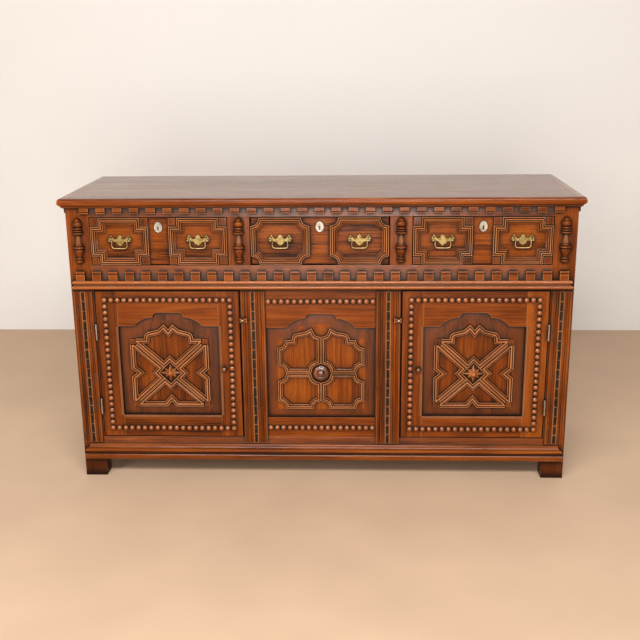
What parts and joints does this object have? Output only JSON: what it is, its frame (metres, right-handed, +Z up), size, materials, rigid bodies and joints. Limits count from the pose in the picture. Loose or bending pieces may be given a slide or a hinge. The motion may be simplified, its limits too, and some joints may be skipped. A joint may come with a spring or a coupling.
{
  "type": "dresser base",
  "caption": "Low oak dresser base with drawers over cupboard doors, geometric panel mouldings, split balusters, dentil cornice and swinging brass bails.",
  "frame": {"origin": "on the floor under the middle of the overall box", "axes": "+X to the right seen from the front, +Y to the back, +Z up"},
  "size_m": [1.592, 0.53, 0.914],
  "materials": {
    "oak": "polished",
    "oak_top": "polished",
    "oak_trim": "polished",
    "oak_inner": "planed",
    "dark_wood": "polished",
    "brass": "polished",
    "hinge_brass": "dull"
  },
  "bodies": {
    "case": {"back_boards": "oak_inner", "base_moulding": "oak", "centre_beads": "oak_trim", "centre_boss": "oak_trim", "centre_panel": "oak", "centre_panel_mouldings": "oak_trim", "centre_rails": "oak", "cornice_moulding": "oak", "cupboard_floor": "oak_inner", "door_muntins": "oak", "drawer_dividers": "oak", "drawer_runners": "oak_inner", "front_posts": "oak", "front_rails": "oak", "hinge_frame_leaves": "hinge_brass", "pilaster_inlays": "dark_wood", "pilasters": "oak", "rear_frame": "oak_inner", "side_panels": "oak", "side_rails": "oak", "split_balusters": "oak_trim", "top_boards": "oak_top", "top_edge_moulding": "oak_top", "turn_button_screws": "hinge_brass", "waist_moulding": "oak"},
    "door_left": {"door_left_beads": "oak_trim", "door_left_boss": "oak_trim", "door_left_frame": "oak", "door_left_hinge_leaves": "hinge_brass", "door_left_knob": "brass", "door_left_panel": "oak", "door_left_panel_mouldings": "oak_trim"},
    "door_right": {"door_right_beads": "oak_trim", "door_right_boss": "oak_trim", "door_right_frame": "oak", "door_right_hinge_leaves": "hinge_brass", "door_right_knob": "brass", "door_right_panel": "oak", "door_right_panel_mouldings": "oak_trim"},
    "drawer_centre_bail_left": {"drawer_centre_bail_left": "brass"},
    "drawer_centre_bail_right": {"drawer_centre_bail_right": "brass"},
    "drawer_centre": {"drawer_centre_box": "oak_inner", "drawer_centre_brasses": "brass", "drawer_centre_front": "oak", "drawer_centre_mouldings": "oak_trim"},
    "drawer_left_bail_left": {"drawer_left_bail_left": "brass"},
    "drawer_left_bail_right": {"drawer_left_bail_right": "brass"},
    "drawer_left": {"drawer_left_box": "oak_inner", "drawer_left_brasses": "brass", "drawer_left_front": "oak", "drawer_left_mouldings": "oak_trim"},
    "drawer_right_bail_left": {"drawer_right_bail_left": "brass"},
    "drawer_right_bail_right": {"drawer_right_bail_right": "brass"},
    "drawer_right": {"drawer_right_box": "oak_inner", "drawer_right_brasses": "brass", "drawer_right_front": "oak", "drawer_right_mouldings": "oak_trim"},
    "turn_button_left": {"turn_button_left": "oak_trim"},
    "turn_button_right": {"turn_button_right": "oak_trim"}
  },
  "joints": [
    {"name": "drawer_left_slide", "type": "slide", "parent": "case", "child": "drawer_left", "axis": [0, -1, 0], "range_m": [0, 0.33]},
    {"name": "drawer_left_bail_left_swing", "type": "hinge", "parent": "drawer_left", "child": "drawer_left_bail_left", "pos_m": [-0.614, -0.2506, 0.783], "axis": [-1, 0, 0], "range_deg": [0, 80]},
    {"name": "drawer_left_bail_right_swing", "type": "hinge", "parent": "drawer_left", "child": "drawer_left_bail_right", "pos_m": [-0.373, -0.2506, 0.783], "axis": [-1, 0, 0], "range_deg": [0, 80]},
    {"name": "drawer_centre_slide", "type": "slide", "parent": "case", "child": "drawer_centre", "axis": [0, -1, 0], "range_m": [0, 0.33]},
    {"name": "drawer_centre_bail_left_swing", "type": "hinge", "parent": "drawer_centre", "child": "drawer_centre_bail_left", "pos_m": [-0.121, -0.2506, 0.783], "axis": [-1, 0, 0], "range_deg": [0, 80]},
    {"name": "drawer_centre_bail_right_swing", "type": "hinge", "parent": "drawer_centre", "child": "drawer_centre_bail_right", "pos_m": [0.121, -0.2506, 0.783], "axis": [-1, 0, 0], "range_deg": [0, 80]},
    {"name": "drawer_right_slide", "type": "slide", "parent": "case", "child": "drawer_right", "axis": [0, -1, 0], "range_m": [0, 0.33]},
    {"name": "drawer_right_bail_left_swing", "type": "hinge", "parent": "drawer_right", "child": "drawer_right_bail_left", "pos_m": [0.373, -0.2506, 0.783], "axis": [-1, 0, 0], "range_deg": [0, 80]},
    {"name": "drawer_right_bail_right_swing", "type": "hinge", "parent": "drawer_right", "child": "drawer_right_bail_right", "pos_m": [0.614, -0.2506, 0.783], "axis": [-1, 0, 0], "range_deg": [0, 80]},
    {"name": "door_left_hinge", "type": "hinge", "parent": "case", "child": "door_left", "pos_m": [-0.70525, -0.2522, 0.3825], "axis": [0, 0, -1], "range_deg": [0, 110]},
    {"name": "door_right_hinge", "type": "hinge", "parent": "case", "child": "door_right", "pos_m": [0.70525, -0.2522, 0.3825], "axis": [0, 0, 1], "range_deg": [0, 110]},
    {"name": "turn_button_left_turn", "type": "hinge", "parent": "case", "child": "turn_button_left", "pos_m": [-0.2429, -0.249, 0.531], "axis": [0, 1, 0], "range_deg": [0, 180]},
    {"name": "turn_button_right_turn", "type": "hinge", "parent": "case", "child": "turn_button_right", "pos_m": [0.2429, -0.249, 0.531], "axis": [0, -1, 0], "range_deg": [0, 180]}
  ]
}
